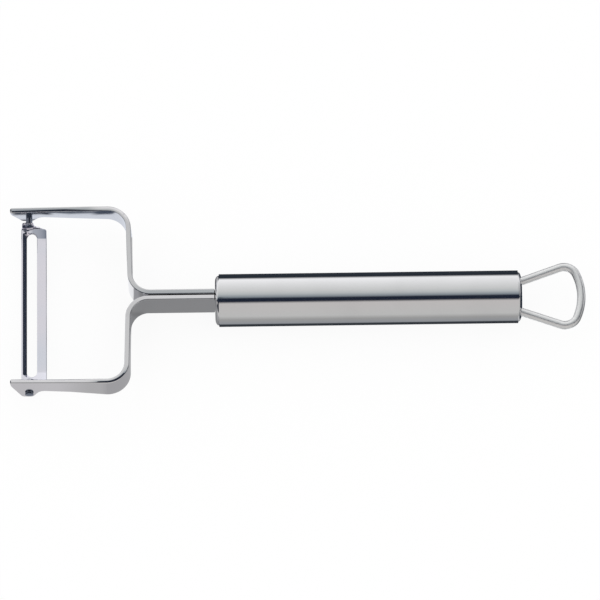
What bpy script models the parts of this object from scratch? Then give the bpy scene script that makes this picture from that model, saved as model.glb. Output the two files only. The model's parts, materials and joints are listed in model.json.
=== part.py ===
"""Vegetable peeler: a slotted blade that swivels between the ears of a yoke of two bent straps.

+X runs along the handle to its hanging loop, +Y across the yoke, and +Z up. The peeler lies on the
underside of its handle, and the origin is the middle of its bounding box on the surface under it.
All sizes are in metres and all angles in radians. Points of a plane outline are complex numbers.
"""

import cmath
import math

import bmesh
import bpy
import numpy as np
from mathutils import Matrix

# Fits
SEAT_GAP = 0.0003
RUNNING_CLEARANCE = 0.00008

# Handle tube and the plugs in its two ends
HANDLE_LENGTH = 0.0930
HANDLE_DIAMETER = 0.0160
HANDLE_WALL = 0.0010
CAP_RIM = 0.0020
CAP_SPIGOT = 0.0050
FRONT_CAP_EDGE = (0.0022, 0.0013)
REAR_CAP_EDGE = (0.0038, 0.0017)

# Yoke of two straps, each a bent bar that starts as a tang in the front cap and ends as an ear
STRAP_THICKNESS = 0.0015
STRAP_EDGE_CHAMFER = 0.0002
TANG_LENGTH = 0.0065
TANG_WIDTH = 0.0080
TANG_SHOULDER = 0.0003
NECK_WIDTH = 0.0121
NECK_LENGTH = 0.0259
YOKE_WIDTH = 0.0573
YOKE_REACH = 0.0620
NECK_BEND_RADIUS = 0.0062
CORNER_BEND_RADIUS = 0.0062
BACK_LEAN = math.radians(1.5)
ARM_TOE_IN = math.radians(0.6)
ARM_FLARE = math.radians(3.8)
EAR_FLARE = math.radians(5.5)
ARM_RISE = 0.0008
CORNER_WIDTH = 0.0088
ARM_MIDDLE_WIDTH = 0.0068
ARM_MIDDLE_REACH = 0.0440
ARM_MIDDLE_RADIUS = 0.0100

# Ear at the end of an arm, measured back from its tip and down from the arm's upper edge
EAR_DEPTH = 0.0096
EAR_TIP_DEPTH = 0.0019
EAR_SLOPE_LENGTH = 0.0035
EAR_FOOT_LENGTH = 0.0032
EAR_HEEL_LENGTH = 0.0022
EAR_HEEL_DEPTH = 0.0056
EAR_CORNER_RADIUS = 0.0011
EAR_HEEL_RADIUS = 0.0025

# Pivot pins, each a head outside the ear, a shank through it and a spigot peened in the blade's tab
PIVOT_SETBACK = 0.0056
PIN_DIAMETER = 0.0020
PIN_HEAD_DIAMETER = 0.0026
PIN_HEAD_THICKNESS = 0.0006
PIN_HEAD_ROUNDING = 0.0002
PIN_SPIGOT_DIAMETER = 0.0012
PIN_RIVET_DIAMETER = 0.0024
PIN_RIVET_THICKNESS = 0.0004

# Blade: one pressed strip, its sizes along X measured from the pivot
BLADE_THICKNESS = 0.0007
BLADE_EDGE_CHAMFER = 0.00012
BLADE_DROP = 0.0024
BLADE_CROWN = 0.0003
BLADE_END_CLEARANCE = 0.0019
BLADE_BEND_RADIUS = 0.0008
CUTTING_BAR_REACH = 0.0025
GUIDE_BAR_REACH = 0.0052
TAB_FRONT_REACH = 0.0022
TAB_REAR_REACH = 0.0014
TAB_RISE = 0.0016
TAB_TOP_RADIUS = 0.0012
BRIDGE_SLANT = 0.0013
BRIDGE_CORNER_RADIUS = 0.0016
SLOT_WIDTH = 0.0031
SLOT_FRONT_EDGE = 0.0008
SLOT_END_MARGIN = 0.0024
GROUND_BEVEL_WIDTH = 0.0011
GROUND_BEVEL_ANGLE = math.radians(27)
GROUND_BEVEL_RUN_OUT = 0.0018

# Hanging loop of round wire, measured on the wire's centreline
WIRE_DIAMETER = 0.0025
LOOP_FOOT_SPACING = 0.0100
LOOP_WIDTH = 0.0188
LOOP_REACH = 0.0180
LOOP_CORNER_RADIUS = 0.0040
LOOP_END_RADIUS = 0.0174
LOOP_TAIL = 0.0060

# Facets
ARC_STEP = math.radians(9)
TURNED_STEPS = 48
PIN_STEPS = 24
SAME_STATION = 0.00005

# Where the handle's front face lies, so that the bounding box is centred on the origin
LOOP_OVERHANG = LOOP_REACH + WIRE_DIAMETER / 2
FRONT_FACE_X = (YOKE_REACH - HANDLE_LENGTH - LOOP_OVERHANG) / 2
REAR_FACE_X = FRONT_FACE_X + HANDLE_LENGTH
AXIS_HEIGHT = HANDLE_DIAMETER / 2
PIVOT_X = FRONT_FACE_X - YOKE_REACH + PIVOT_SETBACK


def remove_everything():
    """Empty the scene, so that the script gives the same result in any file."""
    for item in list(bpy.data.objects):
        bpy.data.objects.remove(item, do_unlink=True)


def new_collection(name):
    """A collection of the given name, linked to the scene."""
    collection = bpy.data.collections.new(name)
    bpy.context.scene.collection.children.link(collection)
    return collection


def metal(name, color, roughness):
    """A metallic Principled material."""
    material = bpy.data.materials.new(name)
    material.use_nodes = True
    shader = material.node_tree.nodes["Principled BSDF"]
    shader.inputs["Base Color"].default_value = (*color, 1.0)
    shader.inputs["Roughness"].default_value = roughness
    shader.inputs["Metallic"].default_value = 1.0
    return material


def place(name, mesh, collection, material=None, matrix=None):
    """An object of the given mesh in a collection."""
    item = bpy.data.objects.new(name, mesh)
    collection.objects.link(item)
    if material is not None:
        mesh.materials.append(material)
    if matrix is not None:
        item.matrix_world = matrix
    return item


def as_cutter(item):
    """Mark an object as a cutter, shown as wires and left out of renders."""
    item.hide_render = True
    item.display_type = 'WIRE'
    return item


def cut(item, cutter):
    """Take a cutter out of an object."""
    modifier = item.modifiers.new("cut_" + cutter.name, 'BOOLEAN')
    modifier.operation = 'DIFFERENCE'
    modifier.object = cutter


def shade_round(mesh):
    """Smooth shading, with creases at the real edges."""
    mesh.shade_smooth()
    mesh.set_sharp_from_angle(angle=math.radians(35))


def unit(point):
    """The direction of a plane vector."""
    return point / abs(point)


def rounded_path(corners, radii):
    """Bend a line of straight runs to the given corner radii.

    Returns its points and the heading at each, so that both are exact on the arcs.
    """
    heading = cmath.phase(corners[1] - corners[0])
    points = [corners[0]]
    headings = [heading]
    for before, corner, after, radius in zip(corners, corners[1:], corners[2:], radii):
        run_in = unit(corner - before)
        turn = cmath.phase((after - corner) / run_in)
        start = corner - run_in * radius * math.tan(abs(turn) / 2)
        centre = start + 1j * math.copysign(radius, turn) * run_in
        steps = max(2, math.ceil(abs(turn) / ARC_STEP))
        for angle in np.linspace(0, turn, steps + 1):
            points.append(centre + (start - centre) * cmath.exp(1j * angle))
            headings.append(heading + angle)
        heading += turn
    points.append(corners[-1])
    headings.append(heading)
    return np.array(points), np.array(headings)


def arc(centre, radius, start, end):
    """Points along an arc of a circle, both ends included."""
    steps = max(2, math.ceil(abs(end - start) / ARC_STEP))
    return [centre + cmath.rect(radius, angle) for angle in np.linspace(start, end, steps + 1)]


def lengths_along(points):
    """Distance of each point from the first, along the line."""
    return np.concatenate([[0.0], np.cumsum(np.abs(np.diff(points)))])


def stations(*marks):
    """All the marks in order, without those that fall together."""
    ordered = np.unique(np.concatenate(marks))
    keep = np.concatenate([[True], np.diff(ordered) > SAME_STATION])
    return ordered[keep]


def height_at(edge, marks):
    """Height of an edge, given as points (distance, height), at each mark."""
    return np.interp(marks, edge.real, edge.imag)


def loft(name, rings):
    """A closed mesh through rings of as many points each, with a flat face at either end."""
    bm = bmesh.new()
    rows = [[bm.verts.new(point) for point in ring] for ring in rings]
    for row, following in zip(rows, rows[1:]):
        for index in range(len(row)):
            after = (index + 1) % len(row)
            bm.faces.new((row[index], row[after], following[after], following[index]))
    bm.faces.new(list(reversed(rows[0])))
    bm.faces.new(rows[-1])
    bmesh.ops.recalc_face_normals(bm, faces=bm.faces)
    mesh = bpy.data.meshes.new(name)
    bm.to_mesh(mesh)
    bm.free()
    return mesh


def bar_section(thickness, low, high, chamfer, spans):
    """Points (across the thickness, across the width) round a bar with chamfered edges."""
    half = thickness / 2
    widths = np.linspace(low + chamfer, high - chamfer, spans + 1)
    up = [(half, width) for width in widths]
    down = [(-half, width) for width in reversed(widths)]
    top = [(half - chamfer, high), (-half + chamfer, high)]
    bottom = [(-half + chamfer, low), (half - chamfer, low)]
    return up + top + down + bottom


def formed_strip(path, low_edge, high_edge, thickness, chamfer, shift, spans=1):
    """Rings of a flat blank that has been bent along a path.

    The blank's two edges are points (distance along the path, height). A ring is a list of points
    (path plane, height). shift(distance, width, height) moves a point off the path's left.
    """
    points, headings = path
    path_marks = lengths_along(points)
    marks = stations(path_marks, low_edge.real, high_edge.real)
    centres = np.interp(marks, path_marks, points.real) + 1j * np.interp(marks, path_marks, points.imag)
    normals = 1j * np.exp(1j * np.interp(marks, path_marks, headings))
    lows = height_at(low_edge, marks)
    highs = height_at(high_edge, marks)
    rings = []
    for mark, centre, normal, low, high in zip(marks, centres, normals, lows, highs):
        ring = []
        for across, height in bar_section(thickness, low, high, chamfer, spans):
            ring.append((centre + normal * (across + shift(mark, height, high)), height))
        rings.append(ring)
    return rings


def turned(name, profile, steps, closed=False):
    """A mesh turned about Z from a profile of points (radius, height), run down its outer side."""
    mesh = bpy.data.meshes.new(name)
    count = len(profile)
    edges = [(index, index + 1) for index in range(count - 1)]
    if closed:
        edges.append((count - 1, 0))
    mesh.from_pydata([(radius, 0.0, height) for radius, height in profile], edges, [])
    item = bpy.data.objects.new(name, mesh)
    bpy.context.scene.collection.objects.link(item)
    screw = item.modifiers.new("turn", 'SCREW')
    screw.axis = 'Z'
    screw.steps = steps
    screw.render_steps = steps
    screw.use_merge_vertices = True
    screw.merge_threshold = 0.00001
    solid = mesh_of(item)
    solid.name = name
    shade_round(solid)
    return solid


def mesh_of(item):
    """The mesh that an object's modifiers or its curve give; the object itself is removed."""
    graph = bpy.context.evaluated_depsgraph_get()
    mesh = bpy.data.meshes.new_from_object(item.evaluated_get(graph))
    bpy.data.objects.remove(item, do_unlink=True)
    bm = bmesh.new()
    bm.from_mesh(mesh)
    bmesh.ops.remove_doubles(bm, verts=bm.verts, dist=0.000001)
    bmesh.ops.recalc_face_normals(bm, faces=bm.faces)
    bm.to_mesh(mesh)
    bm.free()
    return mesh


def plate(name, outline, thickness):
    """A flat outline in the XY plane, filled and given half its thickness to either side."""
    curve = bpy.data.curves.new(name, 'CURVE')
    curve.dimensions = '2D'
    curve.fill_mode = 'BOTH'
    curve.extrude = thickness / 2
    spline = curve.splines.new('POLY')
    spline.points.add(len(outline) - 1)
    spline.use_cyclic_u = True
    for point, target in zip(outline, spline.points):
        target.co = (point.real, point.imag, 0.0, 1.0)
    item = bpy.data.objects.new(name, curve)
    bpy.context.scene.collection.objects.link(item)
    return mesh_of(item)


def drill(name, radius, length, steps):
    """A cylinder about Z, centred on its middle."""
    bm = bmesh.new()
    bmesh.ops.create_cone(
        bm, cap_ends=True, segments=steps, radius1=radius, radius2=radius, depth=length)
    mesh = bpy.data.meshes.new(name)
    bm.to_mesh(mesh)
    bm.free()
    return mesh


def block(name, size):
    """A box about the origin."""
    bm = bmesh.new()
    bmesh.ops.create_cube(bm, size=1.0, matrix=Matrix.Diagonal((*size, 1.0)))
    mesh = bpy.data.meshes.new(name)
    bm.to_mesh(mesh)
    bm.free()
    return mesh


def along_x(x, y=0.0, angle=0.0):
    """Turn what is made about Z to lie along X on the handle's axis, swung about Z by an angle."""
    place_at = Matrix.Translation((x, y, AXIS_HEIGHT))
    return place_at @ Matrix.Rotation(angle, 4, 'Z') @ Matrix.Rotation(math.pi / 2, 4, 'Y')


# Handle


def tube_radii():
    """Inner radius of the tube, and the radius of a plug that fits in it."""
    inner = HANDLE_DIAMETER / 2 - HANDLE_WALL
    return inner, inner - SEAT_GAP


def handle_tube(parts, steel):
    """The tube between the rims of its two caps."""
    outer = HANDLE_DIAMETER / 2
    inner, _ = tube_radii()
    length = HANDLE_LENGTH - 2 * (CAP_RIM + SEAT_GAP)
    profile = [(outer, length / 2), (outer, -length / 2), (inner, -length / 2), (inner, length / 2)]
    mesh = turned("handle_tube", profile, TURNED_STEPS, closed=True)
    return place("handle_tube", mesh, parts, steel, along_x((FRONT_FACE_X + REAR_FACE_X) / 2))


def cap_mesh(name, edge):
    """A plug whose outer face is at height zero, with a rim over the tube's end and a spigot in it."""
    outer = HANDLE_DIAMETER / 2
    _, spigot = tube_radii()
    radial, axial = edge
    rounding = []
    for angle in np.linspace(math.pi / 2, 0, 7):
        rounding.append((outer - radial + radial * math.cos(angle), -axial + axial * math.sin(angle)))
    profile = [(0.0, 0.0), *rounding, (outer, -CAP_RIM), (spigot, -CAP_RIM)]
    profile += [(spigot, -CAP_RIM - CAP_SPIGOT), (0.0, -CAP_RIM - CAP_SPIGOT)]
    return turned(name, profile, TURNED_STEPS)


def front_cap(parts, cutters, steel):
    """The front plug, with one slot that takes both straps' tangs."""
    facing_front = along_x(FRONT_FACE_X) @ Matrix.Rotation(math.pi, 4, 'X')
    cap = place("front_cap", cap_mesh("front_cap", FRONT_CAP_EDGE), parts, steel, facing_front)
    depth = CAP_RIM + CAP_SPIGOT
    pair = 2 * STRAP_THICKNESS + SEAT_GAP
    size = (3 * depth, pair + 2 * SEAT_GAP, TANG_WIDTH + 2 * SEAT_GAP)
    where = Matrix.Translation((FRONT_FACE_X + depth / 2, 0.0, AXIS_HEIGHT))
    cut(cap, as_cutter(place("tang_slot", block("tang_slot", size), cutters, matrix=where)))
    return cap


def loop_leg():
    """Where the loop's upper leg meets the rear face, its angle, and where it meets its corner.

    The corner arc lies inside the end arc and touches it, and the leg is a tangent to the corner.
    """
    corner_y = LOOP_WIDTH / 2 - LOOP_CORNER_RADIUS
    centre_gap = LOOP_END_RADIUS - LOOP_CORNER_RADIUS
    corner_x = LOOP_REACH - LOOP_END_RADIUS + math.sqrt(centre_gap ** 2 - corner_y ** 2)
    corner = complex(corner_x, corner_y)
    foot = 1j * LOOP_FOOT_SPACING / 2
    to_corner = corner - foot
    angle = cmath.phase(to_corner) + math.asin(LOOP_CORNER_RADIUS / abs(to_corner))
    return foot, angle, corner


def rear_cap(parts, cutters, steel):
    """The rear plug, drilled along both legs of the loop."""
    cap = place("rear_cap", cap_mesh("rear_cap", REAR_CAP_EDGE), parts, steel, along_x(REAR_FACE_X))
    foot, angle, _ = loop_leg()
    for name, side in (("left", -1), ("right", 1)):
        hole = drill(name + "_wire_hole", WIRE_DIAMETER / 2 + SEAT_GAP, 4 * CAP_SPIGOT, PIN_STEPS)
        where = along_x(REAR_FACE_X, side * foot.imag, side * angle)
        cut(cap, as_cutter(place(name + "_wire_hole", hole, cutters, matrix=where)))
    return cap


def loop_path():
    """The wire's centreline from one tail to the other, from the rear face of the handle."""
    foot, angle, corner = loop_leg()
    end_centre = complex(LOOP_REACH - LOOP_END_RADIUS, 0.0)
    touch = cmath.phase(corner - end_centre)
    upper = [foot - cmath.rect(LOOP_TAIL, angle), foot]
    upper += arc(corner, LOOP_CORNER_RADIUS, angle + math.pi / 2, touch)
    middle = arc(end_centre, LOOP_END_RADIUS, touch, -touch)[1:-1]
    return upper + middle + [point.conjugate() for point in reversed(upper)]


def hanging_loop(parts, steel):
    """The bent wire, a bevelled curve along its centreline."""
    curve = bpy.data.curves.new("hanging_loop", 'CURVE')
    curve.dimensions = '3D'
    curve.bevel_depth = WIRE_DIAMETER / 2
    curve.bevel_resolution = 4
    curve.use_fill_caps = True
    spline = curve.splines.new('POLY')
    path = loop_path()
    spline.points.add(len(path) - 1)
    for point, target in zip(path, spline.points):
        target.co = (point.real, point.imag, 0.0, 1.0)
    item = bpy.data.objects.new("hanging_loop_wire", curve)
    bpy.context.scene.collection.objects.link(item)
    mesh = mesh_of(item)
    shade_round(mesh)
    where = Matrix.Translation((REAR_FACE_X, 0.0, AXIS_HEIGHT))
    return place("hanging_loop", mesh, parts, steel, where)


# Yoke


def strap_path():
    """Centreline of the right strap from its tang to its tip, seen from above, and two of its marks.

    The marks are the distances at which the neck's bend and the corner's bend end.
    """
    seam_side = (STRAP_THICKNESS + SEAT_GAP) / 2
    back = cmath.rect(1.0, math.pi / 2 + BACK_LEAN)
    arm = cmath.rect(1.0, math.pi + ARM_TOE_IN)
    neck_corner = complex(-NECK_LENGTH, seam_side)
    arm_y = (YOKE_WIDTH - STRAP_THICKNESS) / 2
    arm_corner = neck_corner + back * (arm_y - seam_side) / back.imag
    tip = arm_corner + arm * (YOKE_REACH + arm_corner.real) / -arm.real
    tang = complex(TANG_LENGTH, seam_side)
    corners = [tang, neck_corner, arm_corner, tip]
    points, headings = rounded_path(corners, [NECK_BEND_RADIUS, CORNER_BEND_RADIUS])
    marks = lengths_along(points)
    turning = np.flatnonzero(np.abs(headings - headings[-1]) > ARM_TOE_IN / 2)
    upright = np.argmin(np.abs(headings - cmath.phase(back)))
    return (points, headings), marks[upright], marks[turning[-1] + 1]


def strap_blank(neck_bend_end, corner_end, length):
    """The strap's lower and upper edges before it is bent, as (distance, height) from the axis."""
    seat = TANG_LENGTH + SEAT_GAP
    neck = NECK_WIDTH / 2
    arm_top = neck + ARM_RISE
    shoulder = [complex(0, TANG_WIDTH / 2), complex(seat, TANG_WIDTH / 2)]
    shoulder += [complex(seat + TANG_SHOULDER, neck), complex(neck_bend_end, neck)]
    upper = shoulder + [complex(corner_end, arm_top), complex(length, arm_top)]
    foot_start = length - EAR_SLOPE_LENGTH - EAR_FOOT_LENGTH
    arm_middle = length - YOKE_REACH + ARM_MIDDLE_REACH
    lower_arm = [
        complex(corner_end, arm_top - CORNER_WIDTH),
        complex(arm_middle, arm_top - ARM_MIDDLE_WIDTH),
        complex(foot_start - EAR_HEEL_LENGTH, arm_top - EAR_HEEL_DEPTH),
        complex(foot_start, arm_top - EAR_DEPTH),
        complex(foot_start + EAR_FOOT_LENGTH, arm_top - EAR_DEPTH),
        complex(length, arm_top - EAR_TIP_DEPTH),
    ]
    radii = [ARM_MIDDLE_RADIUS, EAR_HEEL_RADIUS, EAR_CORNER_RADIUS, EAR_CORNER_RADIUS]
    lower_points, _ = rounded_path(lower_arm, radii)
    lower = np.concatenate([np.conj(shoulder), lower_points])
    return lower, np.array(upper)


def strap(side, name, parts, cutters, steel):
    """One strap of the yoke: side is 1 for the right and -1 for the left, its mirror image."""
    path, neck_bend_end, corner_end = strap_path()
    length = lengths_along(path[0])[-1]
    lower, upper = strap_blank(neck_bend_end, corner_end, length)
    arm_middle = length - YOKE_REACH + ARM_MIDDLE_REACH
    ear_start = length - EAR_SLOPE_LENGTH - EAR_FOOT_LENGTH - EAR_HEEL_LENGTH
    ear_extra = math.tan(EAR_FLARE) - math.tan(ARM_FLARE)

    def flared(mark, height, top):
        on_back = np.interp(mark, [neck_bend_end, corner_end], [0.0, 1.0])
        on_arm = np.interp(mark, [arm_middle, ear_start], [0.0, 1.0])
        slope = on_back ** 2 * math.tan(ARM_FLARE) + on_arm * ear_extra
        return -slope * (top - height)

    rings = []
    for ring in formed_strip(path, lower, upper, STRAP_THICKNESS, STRAP_EDGE_CHAMFER, flared):
        rings.append([(point.real, side * point.imag, height) for point, height in ring])
    mesh = loft(name, rings)
    shade_round(mesh)
    bar = place(name, mesh, parts, steel, Matrix.Translation((FRONT_FACE_X, 0.0, AXIS_HEIGHT)))
    hole = drill(name + "_hole", PIN_DIAMETER / 2 + RUNNING_CLEARANCE, YOKE_WIDTH / 4, PIN_STEPS)
    where = pivot_matrix(side) @ Matrix.Translation((0.0, 0.0, YOKE_WIDTH / 2))
    cut(bar, as_cutter(place(name + "_hole", hole, cutters, matrix=where)))
    return bar


def ear_face():
    """Distance from the middle plane to the ear's inner face, at the pivot."""
    path, _, corner_end = strap_path()
    points, _ = path
    at_pivot = np.interp(YOKE_REACH - PIVOT_SETBACK, -points.real[-2:], points.imag[-2:])
    arm_top = NECK_WIDTH / 2 + ARM_RISE
    return at_pivot + math.tan(EAR_FLARE) * arm_top - STRAP_THICKNESS / 2


# Blade and its pins


def pivot_matrix(side):
    """The pivot's place, with Z along the pin towards its head, on the right or the left."""
    return Matrix.Translation((PIVOT_X, 0.0, AXIS_HEIGHT)) @ Matrix.Rotation(-side * math.pi / 2, 4, 'X')


def tab_outer_face():
    """Distance from the middle plane to the outer face of the blade's bent-up tab."""
    return ear_face() - BLADE_END_CLEARANCE


def blade_path():
    """Middle of the strip in the plane (Y, Z), from the right tab's top to the left one's."""
    end = tab_outer_face() - BLADE_THICKNESS / 2
    drop = -BLADE_DROP
    corners = [complex(end, TAB_RISE), complex(end, drop), complex(-end, drop), complex(-end, TAB_RISE)]
    return rounded_path(corners, [BLADE_BEND_RADIUS, BLADE_BEND_RADIUS])


def blade_blank(length):
    """The blank's front and rear edges, as (distance along the strip, X from the pivot)."""
    bend_start = TAB_RISE + BLADE_DROP - BLADE_BEND_RADIUS
    front_half = [
        complex(0.0, -TAB_FRONT_REACH + TAB_TOP_RADIUS),
        complex(TAB_TOP_RADIUS, -TAB_FRONT_REACH),
        complex(bend_start, -TAB_FRONT_REACH),
        complex(bend_start + BRIDGE_SLANT, -CUTTING_BAR_REACH),
        complex(length / 2, -CUTTING_BAR_REACH),
    ]
    rear_half = [
        complex(0.0, TAB_REAR_REACH - TAB_TOP_RADIUS),
        complex(TAB_TOP_RADIUS, TAB_REAR_REACH),
        complex(bend_start, TAB_REAR_REACH),
        complex(bend_start + BRIDGE_SLANT, GUIDE_BAR_REACH),
        complex(length / 2, GUIDE_BAR_REACH),
    ]
    front = whole_edge(front_half, [TAB_TOP_RADIUS, TAB_TOP_RADIUS, TAB_TOP_RADIUS], length)
    rear_radii = [TAB_TOP_RADIUS, TAB_TOP_RADIUS / 2, BRIDGE_CORNER_RADIUS]
    rear = whole_edge(rear_half, rear_radii, length)
    return front, rear


def whole_edge(half_edge, radii, length):
    """An edge that is the same at both ends, from its first half with its corners rounded."""
    points, _ = rounded_path(half_edge, radii)
    back_again = [complex(length - point.real, point.imag) for point in reversed(points[:-1])]
    return np.concatenate([points, back_again])


def blade(parts, cutters, steel):
    """The pressed strip with its slot, its ground edge and the holes in its two tabs."""
    path = blade_path()
    length = lengths_along(path[0])[-1]
    front, rear = blade_blank(length)
    middle = (GUIDE_BAR_REACH - CUTTING_BAR_REACH) / 2
    half = (GUIDE_BAR_REACH + CUTTING_BAR_REACH) / 2
    tab = TAB_RISE + BLADE_DROP

    def crowned(mark, width, _):
        share = np.interp(min(mark, length - mark), [tab, 2 * tab], [0.0, 1.0])
        return -share * BLADE_CROWN * ((width - middle) / half) ** 2

    rings = []
    strip = formed_strip(path, front, rear, BLADE_THICKNESS, BLADE_EDGE_CHAMFER, crowned, spans=6)
    for ring in strip:
        rings.append([(x, point.real, point.imag) for point, x in ring])
    mesh = loft("blade", rings)
    shade_round(mesh)
    item = place("blade", mesh, parts, steel, Matrix.Translation((PIVOT_X, 0.0, AXIS_HEIGHT)))
    cut(item, slot_cutter(cutters))
    cut(item, bevel_cutter(cutters))
    for name, side in (("left", -1), ("right", 1)):
        hole = drill(name + "_tab_hole", PIN_SPIGOT_DIAMETER / 2 + SEAT_GAP, 8 * BLADE_THICKNESS, PIN_STEPS)
        where = pivot_matrix(side) @ Matrix.Translation((0.0, 0.0, tab_outer_face()))
        cut(item, as_cutter(place(name + "_tab_hole", hole, cutters, matrix=where)))
    return item


def slot_half_length():
    """Half the slot's length along the blade."""
    return tab_outer_face() - SLOT_END_MARGIN


def slot_cutter(cutters):
    """A stadium through the plate of the blade."""
    radius = SLOT_WIDTH / 2
    straight = 1j * (slot_half_length() - radius)
    outline = arc(straight, radius, 0.0, math.pi) + arc(-straight, radius, -math.pi, 0.0)
    where = Matrix.Translation((PIVOT_X - SLOT_FRONT_EDGE + radius, 0.0, AXIS_HEIGHT - BLADE_DROP))
    mesh = plate("blade_slot", outline, 6 * BLADE_THICKNESS)
    return as_cutter(place("blade_slot", mesh, cutters, matrix=where))


def bevel_cutter(cutters):
    """A wedge that grinds the cutting bar to an edge along the slot, running out at both ends."""
    width = GROUND_BEVEL_WIDTH / math.cos(GROUND_BEVEL_ANGLE)
    half = slot_half_length()
    depth = 4 * BLADE_THICKNESS
    outline = [
        complex(-width, half - GROUND_BEVEL_RUN_OUT),
        complex(-width, -half + GROUND_BEVEL_RUN_OUT),
        complex(0.0, -half),
        complex(SLOT_WIDTH / 2, -half + SLOT_WIDTH / 2),
        complex(SLOT_WIDTH / 2, half - SLOT_WIDTH / 2),
        complex(0.0, half),
    ]
    upper_face = AXIS_HEIGHT - BLADE_DROP + BLADE_THICKNESS / 2 + BLADE_CROWN * 0.5
    mesh = plate("ground_bevel", outline, depth)
    where = Matrix.Translation((PIVOT_X - SLOT_FRONT_EDGE - GROUND_BEVEL_WIDTH, 0.0, upper_face))
    tilt = Matrix.Rotation(GROUND_BEVEL_ANGLE, 4, 'Y') @ Matrix.Translation((width, 0.0, depth / 2))
    return as_cutter(place("ground_bevel", mesh, cutters, matrix=where @ tilt))


def pivot_pin(side, name, parts, steel):
    """A pin seen along its axis from its head: head, shank in the ear, spigot in the tab, rivet."""
    ear_outer = ear_face() + STRAP_THICKNESS
    lean = math.tan(EAR_FLARE) * PIN_HEAD_DIAMETER / 2
    head_seat = ear_outer + SEAT_GAP / 2 + lean
    head_end = head_seat + PIN_HEAD_THICKNESS
    shoulder = tab_outer_face() + SEAT_GAP
    tab_inner = tab_outer_face() - BLADE_THICKNESS
    rivet_seat = tab_inner - SEAT_GAP
    head = PIN_HEAD_DIAMETER / 2
    shank = PIN_DIAMETER / 2
    spigot = PIN_SPIGOT_DIAMETER / 2
    rivet = PIN_RIVET_DIAMETER / 2
    profile = [
        (0.0, head_end),
        (head - PIN_HEAD_ROUNDING, head_end),
        (head, head_end - PIN_HEAD_ROUNDING),
        (head, head_seat),
        (shank, head_seat),
        (shank, shoulder),
        (spigot, shoulder),
        (spigot, rivet_seat),
        (rivet, rivet_seat),
        (rivet, rivet_seat - PIN_RIVET_THICKNESS / 2),
        (spigot, rivet_seat - PIN_RIVET_THICKNESS),
        (0.0, rivet_seat - PIN_RIVET_THICKNESS),
    ]
    mesh = turned(name, profile, PIN_STEPS)
    return place(name, mesh, parts, steel, pivot_matrix(side))


def main():
    """Build the peeler."""
    remove_everything()
    parts = new_collection("vegetable_peeler")
    cutters = new_collection("cutters")
    tube_steel = metal("polished_tube", (0.80, 0.80, 0.81), 0.12)
    strap_steel = metal("polished_strap", (0.78, 0.78, 0.79), 0.15)
    blade_steel = metal("blade_steel", (0.74, 0.76, 0.80), 0.22)
    pin_steel = metal("pin_steel", (0.72, 0.73, 0.75), 0.25)
    wire_steel = metal("polished_wire", (0.80, 0.80, 0.80), 0.15)
    handle_tube(parts, tube_steel)
    front_cap(parts, cutters, tube_steel)
    rear_cap(parts, cutters, tube_steel)
    hanging_loop(parts, wire_steel)
    blade(parts, cutters, blade_steel)
    for name, side in (("left", -1), ("right", 1)):
        strap(side, name + "_strap", parts, cutters, strap_steel)
        pivot_pin(side, name + "_pivot_pin", parts, pin_steel)


main()
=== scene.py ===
"""Looks of a steel vegetable peeler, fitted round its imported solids.

The handle runs along X, the yoke spreads along Y and Z is up. Lengths are metres and angles radians,
unless a name ends in _deg. Points of a flat outline are complex numbers, and grids are numpy arrays
whose last axis is (x, y, z).
"""

import cmath
import json
import logging
import math
from dataclasses import dataclass
from enum import Enum

import bmesh
import bpy
import numpy as np
from mathutils import Matrix, Vector


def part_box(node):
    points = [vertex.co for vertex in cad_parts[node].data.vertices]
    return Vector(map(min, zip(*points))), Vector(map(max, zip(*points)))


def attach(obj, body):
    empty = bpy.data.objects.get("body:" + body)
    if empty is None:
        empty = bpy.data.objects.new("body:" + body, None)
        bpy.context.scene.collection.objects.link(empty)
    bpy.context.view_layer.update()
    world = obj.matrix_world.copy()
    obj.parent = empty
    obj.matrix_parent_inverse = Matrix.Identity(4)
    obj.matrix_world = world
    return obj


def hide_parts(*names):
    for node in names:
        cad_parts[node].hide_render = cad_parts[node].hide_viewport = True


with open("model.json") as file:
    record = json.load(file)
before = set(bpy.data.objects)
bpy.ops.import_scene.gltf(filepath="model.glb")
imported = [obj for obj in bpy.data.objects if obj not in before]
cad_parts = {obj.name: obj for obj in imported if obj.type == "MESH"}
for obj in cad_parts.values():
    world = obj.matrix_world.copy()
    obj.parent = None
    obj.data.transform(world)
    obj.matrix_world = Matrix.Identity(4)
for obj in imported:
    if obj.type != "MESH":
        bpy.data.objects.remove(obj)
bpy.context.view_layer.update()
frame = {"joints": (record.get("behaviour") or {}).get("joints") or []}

LOG = logging.getLogger("peeler")
PHOTO_PIXELS = 600
SENSOR_WIDTH_MM = 36.0
TURN_DEG = 360.0
WHITE = (1.0, 1.0, 1.0, 1.0)
DARK = (0.02, 0.027, 0.042)
DARK_LINE = (0.03, 0.035, 0.045)
MM = 0.001
# The step between an arc's points, the least number of them, and the rows of a rounded end.
ARC_STEP = math.radians(2.0)
LEAST_ARC_POINTS = 4
END_ROWS = 9
# How near rows and points may lie before they count as one, and the length below which an edge has none.
SAME_STATION = 0.01 * MM
SAME_POINT = 1e-7
NO_LENGTH = 1e-8
# How far past a rounding a flat gets a point, so that it stays flat when it is shaded smooth.
SUPPORT = 0.04 * MM

Pair = tuple[float, float]
Place = tuple[float, float, float]
Tone = tuple[float, float, float]
Rings = tuple[np.ndarray, np.ndarray, np.ndarray]


def mm(*values: float) -> tuple[float, ...]:
    """Millimetres as metres."""
    return tuple(value * MM for value in values)


def slope(degrees: float) -> float:
    """Rise over run of an angle in degrees."""
    return math.tan(math.radians(degrees))


class Body(Enum):
    """The two rigid bodies of the peeler."""

    HANDLE = "handle_and_yoke"
    BLADE = "swivel_blade"


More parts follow.
